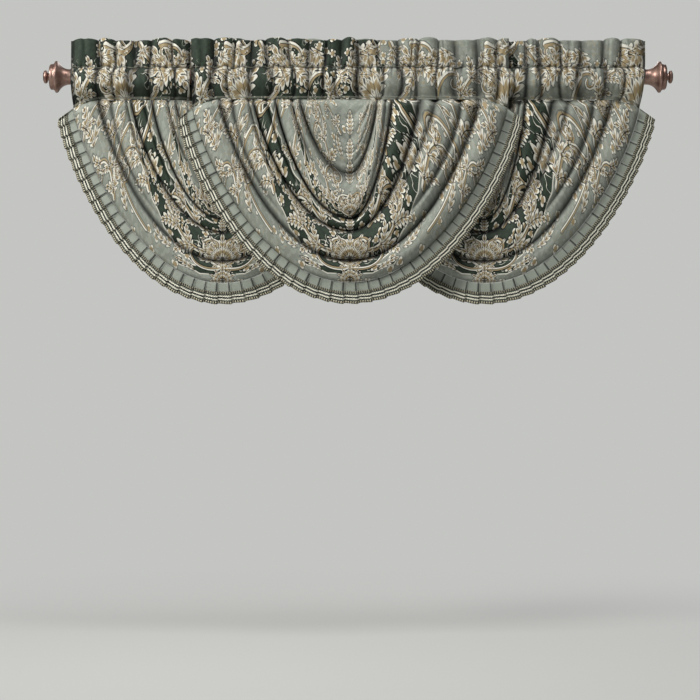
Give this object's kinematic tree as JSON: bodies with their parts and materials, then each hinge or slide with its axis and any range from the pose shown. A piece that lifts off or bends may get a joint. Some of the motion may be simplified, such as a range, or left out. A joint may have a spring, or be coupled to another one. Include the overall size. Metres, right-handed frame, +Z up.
{
  "type": "waterfall valance on a curtain pole",
  "caption": "Overlapping waterfall swag valances with gathered headers, U-shaped folds and pleated braided ruffles, on a round curtain pole with turned finials.",
  "frame": {"origin": "on the pole's axis, at the middle of its length", "axes": "+X along the pole, to the right seen from the room; +Y away from the viewer, towards the wall; +Z up"},
  "size_m": [2.0986, 0.1655, 0.8891],
  "materials": {
    "rose_bronze": "satin rose bronze",
    "damask": "woven damask, sage, dark green, cream and gold",
    "damask_band": "woven sage cloth in knife pleats",
    "braid": "woven braid, cream with a green stripe"
  },
  "bodies": {
    "root": {"pole": "rose_bronze", "finial_left": "rose_bronze", "finial_right": "rose_bronze", "left_header": "damask", "left_swag": "damask", "left_ruffle": "damask_band", "left_braid": "braid", "middle_header": "damask", "middle_swag": "damask", "middle_ruffle": "damask_band", "middle_braid": "braid", "right_header": "damask", "right_swag": "damask", "right_ruffle": "damask_band", "right_braid": "braid"}
  },
  "joints": []
}
